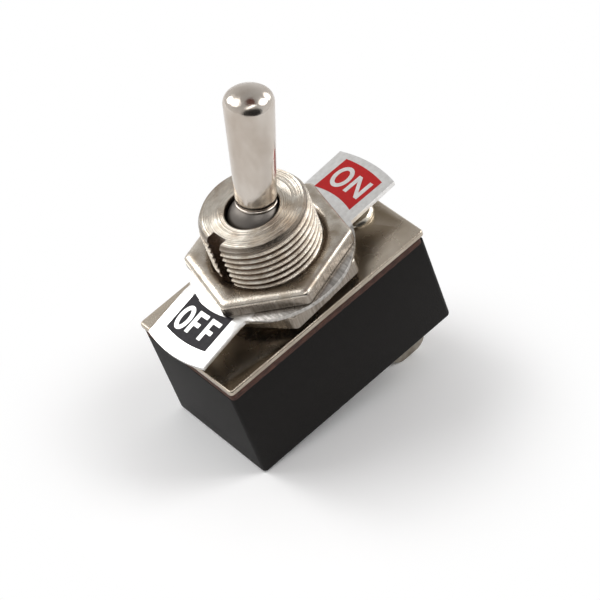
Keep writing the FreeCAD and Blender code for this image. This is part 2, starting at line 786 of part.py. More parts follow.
def parts():
    return {
        "case": case(),
        "gasket": gasket(),
        "frame_plate": frame_plate(),
        "case_eyelets": case_eyelets(),
        "bushing": bushing(),
        "ball_seat": ball_seat(),
        "seat_spring": seat_spring(),
        "retaining_ring": retaining_ring(),
        "lower_nut": nut(LOWER_NUT_BOTTOM, LABEL_BOTTOM, LOWER_NUT_TURN, 0),
        "label_plate": label_plate(),
        "top_nut": nut(LABEL_TOP, 0, TOP_NUT_TURN, NUT_DISH_DEEP),
        "lever": lever(),
        "pivot_pin": pivot_pin(),
        "carriage": carriage(),
        "bridge_bar": bridge_bar(),
        "bridge_contacts": bridge_contacts(),
        "bridge_spring": bridge_spring(),
        "terminal_front": terminal(SIDES["front"]),
        "terminal_rear": terminal(SIDES["rear"]),
        "fixed_contacts": fixed_contacts(),
        "terminal_rivets": terminal_rivets(),
    }


def main():
    os.makedirs("parts", exist_ok=True)
    for name, shape in parts().items():
        shape.exportStep("parts/" + name + ".step")
        solids = shape.Solids
        volume = sum(solid.Volume for solid in solids)
        print(name, "solids", len(solids), "valid", shape.isValid(), "mm3", round(volume, 2))


main()
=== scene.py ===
"""The looks of the panel toggle switch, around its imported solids.

Metres in Blender. Sizes below are in millimetres, in the part's own frame: the origin is on the
bushing's axis level with the top nut's upper face, +Z towards the lever, +X towards ON.
"""

import math

import bmesh
import bpy
import numpy as np
from mathutils import Matrix, Vector


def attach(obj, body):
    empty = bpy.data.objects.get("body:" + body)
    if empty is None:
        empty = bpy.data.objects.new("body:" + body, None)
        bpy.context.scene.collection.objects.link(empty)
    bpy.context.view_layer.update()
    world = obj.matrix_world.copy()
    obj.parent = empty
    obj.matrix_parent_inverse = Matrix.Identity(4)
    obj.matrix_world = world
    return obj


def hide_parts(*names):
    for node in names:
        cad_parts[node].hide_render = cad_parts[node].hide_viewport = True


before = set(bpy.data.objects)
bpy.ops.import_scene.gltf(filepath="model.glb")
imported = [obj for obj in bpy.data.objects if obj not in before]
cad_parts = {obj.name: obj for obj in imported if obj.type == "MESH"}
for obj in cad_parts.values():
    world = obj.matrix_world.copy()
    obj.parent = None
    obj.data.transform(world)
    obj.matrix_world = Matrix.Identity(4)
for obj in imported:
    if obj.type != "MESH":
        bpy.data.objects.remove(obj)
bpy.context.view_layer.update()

MM = 0.001

# Corners nearer than this, in metres, are one. Edges bent by more than the next two angles, in
# degrees, stay sharp, and CAD faces within the last of each other are one flat.
MERGE_M = 1e-7
DRAWN_SHARP = 35.0
CAD_SHARP = 30.0
FLAT_WITHIN = 0.4

# Bushing and its thread
THREAD_R = 5.95
THREAD_PITCH = 0.794
THREAD_DEPTH = 0.30
THREAD_START = 0.28
BUSHING_TOP = 5.41
CHAMFER_R = 5.5
CHAMFER_LOW = 4.65
LIP_R = 2.92
LIP_ROUND = 0.12
SOCKET_R = 3.36
BORE_R = 3.9
MOUTH_R = 4.4
SEAT_TOP = 1.55
SPIGOT_R = 5.2
STAKE_R = 5.8
KEYWAY_W = 1.95
KEYWAY_FLOOR_R = 4.55
KEY_TURN = 3.3
PIVOT_Z = 3.05
RING_COLUMNS = 220
PITCH_ROWS = 12

# Painted shade in the thread's valleys: how much of a crest it leaves unshaded, over what it
# fades, and by how much its masks clear the faces beside them
CREST_UNSHADED = 0.06
PAINTED_SHADE_FADE = 0.3
MASK_GAP = 0.01
# Painted dark reflection on the frame plate: where it lies from the origin, between what
# distances that way it darkens, and its colour
PLATE_DARK_REFLECTION = ((-0.15, -0.99, 0), 7.4, 8.3, "4d4235")
# The least cosine between +Z and the normal of a face that lies flat
FACES_UP = 0.98

# Levels of what the nuts clamp
LABEL_TOP = -1.87
LABEL_BOTTOM = -2.37
LOWER_NUT_BOTTOM = -4.37
PLATE_TOP = -5.42
PLATE_BOTTOM = -6.02
FOOT = -6.52

# Nuts
NUT_FLATS = 15.7
NUT_CORNER_ROUND = 0.6
EDGE_STEP = 0.04
NUT_BORE_R = 5.62
NUT_MOUTH_R = 6.45
NUT_RIM = 0.2
TOP_NUT_TURN = 17.8
LOWER_NUT_TURN = 4.2
# Width of the rolled upper edge, radius of the lower edge and depth of the dish
TOP_NUT_EDGES = (1.0, 0.35, 0.5)
LOWER_NUT_EDGES = (0.5, 0.25, 0.2)

# Label plate and its print, by inner radius, outer radius and half width
LABEL_BEND_X = 8.56
LABEL_BEND = 10.0
ON_PATCH = (9.55, 14.05, 2.88)
OFF_PATCH = (8.8, 13.15, 3.05)
ON_PRINT_TURN = -3.0
RIM_STARTS = (4.35, 4.6)
INK_T = 0.015
LETTER_T = 0.03
LETTER_TALL = 2.5
LETTER_WEIGHT = 0.5
# Letters, place of their middle along the tab, pitch and width
ON_WORD = ("ON", 11.75, 2.55, 1.7)
OFF_WORD = ("OFF", -10.95, 1.9, 1.2)

# Lever, from its nose up: heights are from the pivot
LEVER_THROW = 16.0
NOSE_ARM = 13.0
NOSE_R = 1.5
NOSE_FLAT_R = 0.9
NOSE_END = 14.1
NOSE_NECK = 1.15
SHANK_R = 1.0
SHANK_TOP = -3.0
BALL_R = 3.3
# Radius and height: where the shank's cone meets the ball, where the ball meets the bead, the
# middle of the bead's round, and the groove over it
BALL_FOOT = (2.545, -2.1)
BEAD_FOOT = (2.1, 2.55)
BEAD_MIDDLE = (2.03, 2.72)
BEAD_ROUND = 0.17
GROOVE = ((1.98, 2.9), (1.99, 2.95), (2.03, 3.0), (2.11, 3.06))
LEVER_BASE_R = 2.14
LEVER_BASE_UP = 3.1
LEVER_WIDE_R = 2.62
LEVER_WIDE_UP = 14.8
DOME_H = 1.75
KNUCKLE_R = 1.3
CROWN_R = 3.46


def colour(code):
    """sRGB hex to linear RGBA."""
    channels = np.array([int(code[i : i + 2], 16) for i in (0, 2, 4)]) / 255.0
    low, high = channels / 12.92, ((channels + 0.055) / 1.055) ** 2.4
    return (*np.where(channels <= 0.04045, low, high), 1.0)


def add_node(tree, kind, inputs=None, **settings):
    """Adds a node, applies its settings, and fills or links the inputs named or numbered. A mix
    node has its share at 0, and mixes the numbers at 2 and 3 or the colours at 6 and 7."""
    made = tree.nodes.new(kind)
    for name, value in settings.items():
        setattr(made, name, value)
    for name, value in (inputs or {}).items():
        socket = made.inputs[name]
        if isinstance(value, bpy.types.NodeSocket):
            tree.links.new(value, socket)
        else:
            socket.default_value = value
    return made


def new_material(name):
    """An empty node material, its tree and its object coordinates."""
    material = bpy.data.materials.new(name)
    material.use_nodes = True
    tree = material.node_tree
    tree.nodes.clear()
    return material, tree, add_node(tree, "ShaderNodeTexCoord").outputs["Object"]


def mottle(tree, where, size_mm, low, high, detail=4.0, stretch=(1, 1, 1)):
    """A pattern from 0 to 1 of blots about size_mm across: noise in stretched coordinates,
    with the part of it between low and high spread out."""
    drawn_out = add_node(
        tree, "ShaderNodeVectorMath", {0: where, 1: stretch}, operation="MULTIPLY"
    )
    blots = add_node(
        tree,
        "ShaderNodeTexNoise",
        {"Vector": drawn_out.outputs[0], "Scale": 1 / (size_mm * MM), "Detail": detail},
    )
    spread = add_node(
        tree,
        "ShaderNodeMapRange",
        {"Value": blots.outputs["Fac"], "From Min": low, "From Max": high},
    )
    return spread.outputs[0]


def upwardness(tree):
    """How far a face looks up: the cosine of the angle between its normal and +Z."""
    normal = add_node(tree, "ShaderNodeTexCoord").outputs["Normal"]
    cosine = add_node(
        tree, "ShaderNodeVectorMath", {0: normal, 1: (0, 0, 1)}, operation="DOT_PRODUCT"
    )
    return cosine.outputs["Value"]


def from_axis(tree, where):
    """The distance from the bushing's axis."""
    flat = add_node(
        tree, "ShaderNodeVectorMath", {0: where, 1: (1, 1, 0)}, operation="MULTIPLY"
    )
    reach = add_node(tree, "ShaderNodeVectorMath", {0: flat.outputs[0]}, operation="LENGTH")
    return reach.outputs["Value"]


def close_metal(tree, tint, rough, relief, more=None):
    """Ends a material in a metal's shader with its tint, roughness, relief and what more it
    takes."""
    inputs = {
        "Base Color": tint.outputs[2],
        "Metallic": 1.0,
        "Roughness": rough.outputs[0],
        "Normal": relief.outputs[0],
    }
    shader = add_node(tree, "ShaderNodeBsdfPrincipled", {**inputs, **(more or {})})
    add_node(tree, "ShaderNodeOutputMaterial", {"Surface": shader.outputs[0]})


def metal(name, light, dark, patch_mm, gloss, marks_mm, deep_mm, painted_dark_reflection=None):
    """A metal whose tint and roughness drift over patches of patch_mm, with fine marks. A painted
    dark reflection browns its upper face past a distance from the origin in one direction."""
    material, tree, where = new_material(name)
    patches = mottle(tree, where, patch_mm, 0.35, 0.7, detail=5.0)
    marks = mottle(tree, where, marks_mm, 0.2, 0.8, detail=3.0)
    tint = add_node(
        tree, "ShaderNodeMix", {0: patches, 6: colour(light), 7: colour(dark)}, data_type="RGBA"
    )
    # Painted reflection: flat upper faces past the given distance are tinted dark brown.
    if painted_dark_reflection:
        toward, start_mm, end_mm, brown = painted_dark_reflection
        past = add_node(
            tree, "ShaderNodeVectorMath", {0: where, 1: toward}, operation="DOT_PRODUCT"
        )
        share = add_node(
            tree,
            "ShaderNodeMapRange",
            {
                "Value": past.outputs["Value"],
                "From Min": start_mm * MM,
                "From Max": end_mm * MM,
            },
        )
        on_top = add_node(
            tree, "ShaderNodeMath", {0: upwardness(tree), 1: FACES_UP}, operation="GREATER_THAN"
        )
        in_painted_reflection = add_node(
            tree,
            "ShaderNodeMath",
            {0: share.outputs[0], 1: on_top.outputs[0]},
            operation="MULTIPLY",
        )
        tint = add_node(
            tree,
            "ShaderNodeMix",
            {0: in_painted_reflection.outputs[0], 6: tint.outputs[2], 7: colour(brown)},
            data_type="RGBA",
        )
    rough = add_node(
        tree, "ShaderNodeMapRange", {"Value": patches, "To Min": gloss[0], "To Max": gloss[1]}
    )
    relief = add_node(tree, "ShaderNodeBump", {"Height": marks, "Distance": deep_mm * MM})
    close_metal(tree, tint, rough, relief)
    return material


def turned_nickel():
    """Bright nickel over turned brass. The tool's rings show on the flat end as thin arcs of
    light and draw highlights out across them, the thread's valleys are browned by painted
    shade, and the keyway is painted dark as shade. The rings are drawn coarser than the tool
    leaves them, so that they hold at this size."""
    material, tree, where = new_material("bright_nickel_on_turned_brass")
    radius = from_axis(tree, where)
    on_end = add_node(
        tree,
        "ShaderNodeMapRange",
        {"Value": upwardness(tree), "From Min": 0.75, "From Max": 0.95},
    )
    rings = add_node(
        tree,
        "ShaderNodeTexNoise",
        {"W": radius, "Scale": 1 / (0.2 * MM), "Detail": 2.0, "Roughness": 0.8},
        noise_dimensions="1D",
    )
    nicks = mottle(tree, where, 0.12, -0.3, 1.3, detail=3.0)
    share = add_node(
        tree, "ShaderNodeMapRange", {"Value": on_end.outputs[0], "To Min": 0.9, "To Max": 0.05}
    )
    height = add_node(
        tree, "ShaderNodeMix", {0: share.outputs[0], 2: rings.outputs["Fac"], 3: nicks}
    )
    relief = add_node(
        tree, "ShaderNodeBump", {"Height": height.outputs[0], "Distance": 0.09 * MM}
    )
    patches = mottle(tree, where, 1.2, 0.35, 0.75, detail=6.0)
    nickel = add_node(
        tree,
        "ShaderNodeMix",
        {0: patches, 6: colour("d8d1c5"), 7: colour("b3a594")},
        data_type="RGBA",
    )
    # Painted shade: the thread's valleys are tinted dark brown, less so towards the chamfer and
    # not at all on the flat end.
    valley = add_node(
        tree,
        "ShaderNodeMapRange",
        {
            "Value": radius,
            "From Min": (THREAD_R - THREAD_DEPTH) * MM,
            "From Max": (THREAD_R - CREST_UNSHADED) * MM,
            "To Min": 1.0,
            "To Max": 0.0,
        },
    )
    height_up = add_node(
        tree, "ShaderNodeVectorMath", {0: where, 1: (0, 0, 1)}, operation="DOT_PRODUCT"
    )
    above = add_node(
        tree,
        "ShaderNodeMapRange",
        {
            "Value": height_up.outputs["Value"],
            "From Min": (CHAMFER_LOW - PAINTED_SHADE_FADE) * MM,
            "From Max": CHAMFER_LOW * MM,
            "To Max": 0.3,
        },
    )
    painted_valley_shade = add_node(
        tree, "ShaderNodeMix", {0: above.outputs[0], 2: valley.outputs[0], 3: 0.0}
    )
    painted_valley_shade = add_node(
        tree, "ShaderNodeMix", {0: on_end.outputs[0], 2: painted_valley_shade.outputs[0], 3: 0.0}
    )
    valley_shaded = add_node(
        tree,
        "ShaderNodeMix",
        {0: painted_valley_shade.outputs[0], 6: nickel.outputs[2], 7: colour("4b3828")},
        data_type="RGBA",
    )
    # Painted shade: the keyway is tinted a dark grey brown.
    key = math.radians(KEY_TURN)
    outward = add_node(
        tree,
        "ShaderNodeVectorMath",
        {0: where, 1: (-math.cos(key), -math.sin(key), 0)},
        operation="DOT_PRODUCT",
    )
    sideways = add_node(
        tree,
        "ShaderNodeVectorMath",
        {0: where, 1: (-math.sin(key), math.cos(key), 0)},
        operation="DOT_PRODUCT",
    )
    deep = add_node(
        tree,
        "ShaderNodeMath",
        {0: outward.outputs["Value"], 1: (KEYWAY_FLOOR_R - MASK_GAP) * MM},
        operation="GREATER_THAN",
    )
    beside = add_node(
        tree, "ShaderNodeMath", {0: sideways.outputs["Value"]}, operation="ABSOLUTE"
    )
    narrow = add_node(
        tree,
        "ShaderNodeMath",
        {0: beside.outputs[0], 1: (KEYWAY_W / 2 + MASK_GAP) * MM},
        operation="LESS_THAN",
    )
    keyway = add_node(
        tree, "ShaderNodeMath", {0: deep.outputs[0], 1: narrow.outputs[0]}, operation="MULTIPLY"
    )
    tint = add_node(
        tree,
        "ShaderNodeMix",
        {0: keyway.outputs[0], 6: valley_shaded.outputs[2], 7: colour("9a8c80")},
        data_type="RGBA",
    )
    rough = add_node(
        tree, "ShaderNodeMapRange", {"Value": patches, "To Min": 0.18, "To Max": 0.28}
    )
    grain = add_node(tree, "ShaderNodeTangent", direction_type="RADIAL", axis="Z")
    drawn_out = {
        "Anisotropic": 0.75,
        "Anisotropic Rotation": 0.25,
        "Tangent": grain.outputs[0],
    }
    close_metal(tree, tint, rough, relief, drawn_out)
    return material


def nut_nickel():
    """Nickel on the nuts: bright tumbled edges, fine upright marks of the drawn bar on flats
    painted darker as shade, and painted dark brown shade in the dish round the thread."""
    material, tree, where = new_material("bright_nickel_on_nuts")
    patches = mottle(tree, where, 1.4, 0.35, 0.7, detail=5.0)
    marks = mottle(tree, where, 0.2, 0.3, 0.7, detail=3.0, stretch=(1, 1, 0.04))
    pits = mottle(tree, where, 0.14, -0.2, 1.2, detail=3.0)
    on_flat = add_node(
        tree,
        "ShaderNodeMapRange",
        {"Value": upwardness(tree), "From Min": 0.3, "From Max": 0.05},
    )
    bright = add_node(
        tree,
        "ShaderNodeMix",
        {0: patches, 6: colour("d0c8bc"), 7: colour("a39686")},
        data_type="RGBA",
    )
    # The flats' darker tint is painted shade; the upright marks on them are the drawn bar's.
    shaded_marked_flats = add_node(
        tree,
        "ShaderNodeMix",
        {0: marks, 6: colour("aaa196"), 7: colour("857b70")},
        data_type="RGBA",
    )
    # Painted shade: the dish round the thread is tinted dark brown, fading out away from the bore.
    dish = add_node(
        tree,
        "ShaderNodeMapRange",
        {
            "Value": from_axis(tree, where),
            "From Min": NUT_BORE_R * MM,
            "From Max": (NUT_MOUTH_R + PAINTED_SHADE_FADE) * MM,
            "To Min": 1.0,
            "To Max": 0.0,
        },
    )
    top = add_node(
        tree,
        "ShaderNodeMix",
        {0: dish.outputs[0], 6: bright.outputs[2], 7: colour("5d4d3e")},
        data_type="RGBA",
    )
    tint = add_node(
        tree,
        "ShaderNodeMix",
        {0: on_flat.outputs[0], 6: top.outputs[2], 7: shaded_marked_flats.outputs[2]},
        data_type="RGBA",
    )
    height = add_node(tree, "ShaderNodeMix", {0: on_flat.outputs[0], 2: pits, 3: marks})
    relief = add_node(
        tree, "ShaderNodeBump", {"Height": height.outputs[0], "Distance": 0.02 * MM}
    )
    rough = add_node(
        tree, "ShaderNodeMapRange", {"Value": patches, "To Min": 0.22, "To Max": 0.34}
    )
    close_metal(tree, tint, rough, relief)
    return material


def lever_nickel():
    """Bright nickel on the lever, with faint smears and fine hairlines along it. Its ball is
    painted dark grey, as the shade and dark reflection inside the bushing."""
    material, tree, where = new_material("bright_nickel_on_lever")
    smears = mottle(tree, where, 3.0, 0.35, 0.65, stretch=(1, 1, 0.5))
    hairlines = mottle(tree, where, 0.2, 0.2, 0.8, stretch=(1, 1, 0.3))
    nickel = add_node(
        tree,
        "ShaderNodeMix",
        {0: smears, 6: colour("cdc5bc"), 7: colour("b8aca0")},
        data_type="RGBA",
    )
    from_pivot = add_node(
        tree, "ShaderNodeVectorMath", {0: where, 1: (0, 0, PIVOT_Z * MM)}, operation="DISTANCE"
    )
    on_ball = add_node(
        tree,
        "ShaderNodeMath",
        {0: from_pivot.outputs["Value"], 1: (BALL_R + 2 * MASK_GAP) * MM},
        operation="LESS_THAN",
    )
    # Painted shade: the ball, down in the bushing, is tinted dark grey.
    tint = add_node(
        tree,
        "ShaderNodeMix",
        {0: on_ball.outputs[0], 6: nickel.outputs[2], 7: colour("6d6863")},
        data_type="RGBA",
    )
    bright = add_node(
        tree, "ShaderNodeMapRange", {"Value": smears, "To Min": 0.14, "To Max": 0.24}
    )
    rough = add_node(tree, "ShaderNodeMix", {0: on_ball.outputs[0], 2: bright.outputs[0], 3: 0.4})
    relief = add_node(tree, "ShaderNodeBump", {"Height": hairlines, "Distance": 0.006 * MM})
    close_metal(tree, tint, rough, relief)
    return material


def label_aluminium():
    """Satin aluminium: white and even on the two tabs, a grey brushed sheen of bare metal on the
    rim's front, its darkness partly painted shade from the nut, and painted dull grey shade on its
    back."""
    material, tree, where = new_material("satin_aluminium_label")
    blots = mottle(tree, where, 0.5, 0.35, 0.7, detail=5.0)
    brushed = mottle(tree, where, 0.3, 0.3, 0.75, detail=4.0, stretch=(1, 0.15, 1))
    white = add_node(
        tree,
        "ShaderNodeMix",
        {0: blots, 6: colour("f2f1ef"), 7: colour("e2e0dd")},
        data_type="RGBA",
    )
    # The rim's grey is bare brushed metal, darkened partly as painted shade from the nut.
    rim_grey_and_shade = add_node(
        tree,
        "ShaderNodeMix",
        {0: brushed, 6: colour("cfcbc6"), 7: colour("8d8984")},
        data_type="RGBA",
    )
    key = math.radians(KEY_TURN)
    sideways = add_node(
        tree,
        "ShaderNodeVectorMath",
        {0: where, 1: (math.sin(key), -math.cos(key), 0)},
        operation="DOT_PRODUCT",
    )
    rim = add_node(
        tree,
        "ShaderNodeMapRange",
        {
            "Value": sideways.outputs["Value"],
            "From Min": RIM_STARTS[0] * MM,
            "From Max": RIM_STARTS[1] * MM,
        },
    )
    front = add_node(
        tree,
        "ShaderNodeMix",
        {0: rim.outputs[0], 6: white.outputs[2], 7: rim_grey_and_shade.outputs[2]},
        data_type="RGBA",
    )
    # Painted shade: the back, under the plate, is tinted dull grey.
    is_back = add_node(
        tree, "ShaderNodeMath", {0: upwardness(tree), 1: -0.7}, operation="LESS_THAN"
    )
    tint = add_node(
        tree,
        "ShaderNodeMix",
        {0: is_back.outputs[0], 6: front.outputs[2], 7: colour("8a8378")},
        data_type="RGBA",
    )
    rough = add_node(
        tree, "ShaderNodeMapRange", {"Value": rim.outputs[0], "To Min": 0.34, "To Max": 0.26}
    )
    relief = add_node(tree, "ShaderNodeBump", {"Height": brushed, "Distance": 0.006 * MM})
    close_metal(tree, tint, rough, relief)
    return material


def matt(name, dark, light, grain_mm, roughness, deep_mm, stretch=(1, 1, 1), shine=0.5):
    """A plain solid whose colour drifts from one to another over its grain, which stands out a
    little."""
    material, tree, where = new_material(name)
    grain = mottle(tree, where, grain_mm, 0.3, 0.7, detail=5.0, stretch=stretch)
    tint = add_node(
        tree, "ShaderNodeMix", {0: grain, 6: colour(dark), 7: colour(light)}, data_type="RGBA"
    )
    relief = add_node(tree, "ShaderNodeBump", {"Height": grain, "Distance": deep_mm * MM})
    shader = add_node(
        tree,
        "ShaderNodeBsdfPrincipled",
        {
            "Base Color": tint.outputs[2],
            "Roughness": roughness,
            "Specular IOR Level": shine,
            "Normal": relief.outputs[0],
        },
    )
    add_node(tree, "ShaderNodeOutputMaterial", {"Surface": shader.outputs[0]})
    return material


def finish_piece(name, mesh, material, body, replaced):
    """Puts a finished mesh into the scene on its body, standing for the CAD nodes named."""
    piece = bpy.data.objects.new(name, mesh)
    bpy.context.scene.collection.objects.link(piece)
    mesh.materials.clear()
    mesh.materials.append(material)
    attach(piece, body)
    if replaced:
        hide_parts(*replaced)


def smooth(mesh, sharp_degrees):
    """Shades a mesh smooth, except across edges sharper than the angle given."""
    mesh.polygons.foreach_set("use_smooth", np.ones(len(mesh.polygons), bool))
    mesh.set_sharp_from_angle(angle=math.radians(sharp_degrees))
    mesh.update()


def mesh_of(name, points, faces):
    """A mesh from points in millimetres and faces. Points that lie on each other are merged,
    empty faces go, and the rest are turned outwards."""
    mesh = bpy.data.meshes.new(name)
    mesh.from_pydata((points * MM).tolist(), [], faces.tolist())
    work = bmesh.new()
    work.from_mesh(mesh)
    bmesh.ops.remove_doubles(work, verts=work.verts, dist=MERGE_M)
    bmesh.ops.dissolve_degenerate(work, edges=work.edges, dist=MERGE_M)
    bmesh.ops.recalc_face_normals(work, faces=work.faces)
    work.to_mesh(mesh)
    work.free()
    smooth(mesh, DRAWN_SHARP)
    return mesh


def surface(name, points):
    """A mesh from a grid of points, of rows by columns by 3. Each row is a closed ring, each
    ring is joined to the next, and the last to the first."""
    rows, columns = points.shape[:2]
    index = np.arange(rows * columns).reshape(rows, columns)
    right = np.roll(index, -1, axis=1)
    faces = np.stack(
        [index, right, np.roll(right, -1, axis=0), np.roll(index, -1, axis=0)], axis=-1
    )
    return mesh_of(name, points.reshape(-1, 3), faces.reshape(-1, 4))


def slab(top, bottom, closed):
    """Points and faces of a thin closed plate between two grids of points. With closed, the
    grids run round in a ring along their first axis."""
    rows, columns = top.shape[:2]
    index = np.arange(rows * columns).reshape(rows, columns)
    loop = np.concatenate([index, index[:1]]) if closed else index
    under = rows * columns
    corners = [loop[:-1, :-1], loop[1:, :-1], loop[1:, 1:], loop[:-1, 1:]]
    upper = np.stack(corners, axis=-1).reshape(-1, 4)
    rims = [loop[:, 0], loop[::-1, -1]]
    if not closed:
        rims += [index[0, ::-1], index[-1]]
    sides = [
        np.stack([rim[:-1], rim[1:], rim[1:] + under, rim[:-1] + under], axis=-1) for rim in rims
    ]
    faces = np.concatenate([upper, upper[:, ::-1] + under, *sides])
    return np.concatenate([top.reshape(-1, 3), bottom.reshape(-1, 3)]), faces


def arc(centre, radius, start, end, count):
    """Points, as radius and height, along an arc between two angles, in degrees from +r."""
    angles = np.radians(np.linspace(start, end, count))
    return np.array(centre) + radius * np.stack([np.cos(angles), np.sin(angles)], axis=-1)


def dressed(node, edge_mm, material):
    """Puts in a merged copy of a CAD node whose sharp edges are broken by a rounding of
    edge_mm."""
    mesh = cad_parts[node].data.copy()
    work = bmesh.new()
    work.from_mesh(mesh)
    bmesh.ops.remove_doubles(work, verts=work.verts, dist=MERGE_M)
    flat = math.radians(FLAT_WITHIN)
    bmesh.ops.dissolve_limit(work, angle_limit=flat, verts=work.verts, edges=work.edges)
    limit = math.radians(CAD_SHARP)
    edges = [e for e in work.edges if len(e.link_faces) == 2 and e.calc_face_angle(0) > limit]
    bmesh.ops.bevel(
        work,
        geom=edges,
        offset=edge_mm * MM,
        segments=2,
        profile=0.5,
        affect="EDGES",
        clamp_overlap=True,
    )
    work.to_mesh(mesh)
    work.free()
    smooth(mesh, CAD_SHARP)
    finish_piece(node + "_finished", mesh, material, "base", [node])


def bushing_ring(radius_at, height, climb, low, keyed):
    """One ring about Z from -X. It climbs evenly over its turn, and its radius follows its
    height. The last columns cross the keyway, whose floor lies flat at KEYWAY_FLOOR_R."""
    half_key = KEYWAY_W / 2
    share = np.linspace(0, 1, RING_COLUMNS)
    gap = math.asin(min(1.0, half_key / radius_at(np.array([height]))[0]))
    turn = gap + (2 * np.pi - 2 * gap) * share
    z = np.clip(height + climb * turn / (2 * np.pi), low, BUSHING_TOP)
    r = radius_at(z)
    side = np.arcsin(half_key / r)
    turn = np.where(share == 0, side, np.where(share == 1, 2 * np.pi - side, turn))
    round_part = np.stack([-r * np.cos(turn), -r * np.sin(turn), z], axis=-1)
    across = half_key * np.array([1.0, 0.5, 0.0, -0.5, -1.0])
    key_z = np.linspace(z[-1], z[0], len(across))
    key_x = np.sqrt(radius_at(key_z) ** 2 - across**2)
    if keyed:
        key_x = np.minimum(key_x, KEYWAY_FLOOR_R)
    return np.concatenate([round_part, np.stack([-key_x, across, key_z], axis=-1)])


def bushing_points():
    """Rings about Z from the foot's mouth, up the bore, over the flat end and down the threaded
    outside. On the thread each ring climbs by one pitch a turn, so that crests follow a helix.
    Its radius is that of the thread, whose depth goes with the square of a raised cosine, or of
    the end's cone, whichever is less."""
    lip_angle = math.degrees(math.acos(LIP_R / SOCKET_R))
    lip_z = PIVOT_Z + SOCKET_R * math.sin(math.radians(lip_angle))
    end_r = LIP_R + 2 * LIP_ROUND
    inside = np.vstack(
        [
            (MOUTH_R, FOOT),
            (BORE_R, PLATE_TOP),
            (BORE_R, SEAT_TOP),
            (SOCKET_R, SEAT_TOP),
            arc((0, PIVOT_Z), SOCKET_R, 0, lip_angle, 7),
            (LIP_R, lip_z + LIP_ROUND),
            arc((LIP_R + LIP_ROUND, BUSHING_TOP - LIP_ROUND), LIP_ROUND, 180, 90, 5),
            np.linspace((end_r, BUSHING_TOP), (CHAMFER_R - 0.05, BUSHING_TOP), 7),
        ]
    )
    outside = [
        (SPIGOT_R, PLATE_TOP),
        (SPIGOT_R, PLATE_BOTTOM),
        (STAKE_R, PLATE_BOTTOM),
        (STAKE_R, FOOT),
    ]
    slope = (THREAD_R - CHAMFER_R) / (BUSHING_TOP - CHAMFER_LOW)
    step = THREAD_PITCH / PITCH_ROWS
    rows = [
        bushing_ring(lambda z, r=r: np.full_like(z, r), height, 0.0, FOOT, height > PLATE_TOP)
        for r, height in inside
    ]
    for height in np.arange(BUSHING_TOP, PLATE_TOP - THREAD_PITCH, -step):
        wave = 0.5 + 0.5 * math.cos(2 * math.pi * (height - THREAD_START) / THREAD_PITCH)
        crest = THREAD_R - THREAD_DEPTH * (1 - wave**2)
        rows.append(
            bushing_ring(
                lambda z, crest=crest: np.minimum(crest, CHAMFER_R + (BUSHING_TOP - z) * slope),
                height,
                THREAD_PITCH,
                PLATE_TOP,
                True,
            )
        )
    rows += [
        bushing_ring(lambda z, r=r: np.full_like(z, r), height, 0.0, FOOT, False)
        for r, height in outside
    ]
    turn = math.radians(KEY_TURN)
    c, s = math.cos(turn), math.sin(turn)
    return np.array(rows) @ np.array([[c, s, 0], [-s, c, 0], [0, 0, 1]])


def hexagon_radius(angles, inset):
    """The radius of a hexagon with rounded corners, moved in by inset: along a flat the apothem
    over the cosine, and near a corner where the ray meets the corner's arc."""
    folded = np.abs((angles + np.pi / 6) % (np.pi / 3) - np.pi / 6)
    apothem = NUT_FLATS / 2 - inset
    inner = apothem - NUT_CORNER_ROUND
    away = np.pi / 6 - folded
    reach = inner / math.cos(math.pi / 6)
    bent = reach * np.cos(away) + np.sqrt(
        np.maximum(NUT_CORNER_ROUND**2 - (reach * np.sin(away)) ** 2, 0)
    )
    on_flat = apothem * np.tan(folded) <= inner * math.tan(math.pi / 6)
    return np.where(on_flat, apothem / np.cos(folded), bent)


def nut_points(low, high, turn, edge, bottom_round, dish):
    """Rings about Z, up the hexagon's side and back down the bore. Near the top they shrink
    along a quarter ellipse, edge wide and half as high, over a fine step; near the bottom they
    grow along a quarter circle. The mouth slopes down to the thread."""
    flat, corner = np.linspace(-27, 27, 12), np.linspace(27.6, 32.4, 9)
    side = np.concatenate([flat, corner])
    angles = np.radians((side[None, :] + 60 * np.arange(6)[:, None]).ravel())
    even = np.ones_like(angles)
    foot_inset = bottom_round + 0.3
    rings = [(NUT_BORE_R * even, low), (hexagon_radius(angles, foot_inset), low)]
    for a in np.radians(np.linspace(0, 90, 5)):
        inset = bottom_round * (1 - math.sin(a))
        rings.append((hexagon_radius(angles, inset), low + bottom_round * (1 - math.cos(a))))
    step_z = high - edge / 2
    rings.append((hexagon_radius(angles, 0), step_z - EDGE_STEP / 2))
    rings.append((hexagon_radius(angles, EDGE_STEP), step_z))
    for a in np.radians(np.linspace(0, 90, 10)):
        inset = EDGE_STEP + edge * (1 - math.cos(a))
        rings.append((hexagon_radius(angles, inset), step_z + edge / 2 * math.sin(a)))
    rings.append(((NUT_MOUTH_R + NUT_RIM) * even, high))
    rings.append((NUT_MOUTH_R * even, high - dish / 8))
    rings.append((NUT_BORE_R * even, high - dish))
    angles = angles + math.radians(turn + 30)
    return np.array(
        [
            np.stack([r * np.cos(angles), r * np.sin(angles), np.full_like(r, z)], axis=-1)
            for r, z in rings
        ]
    )


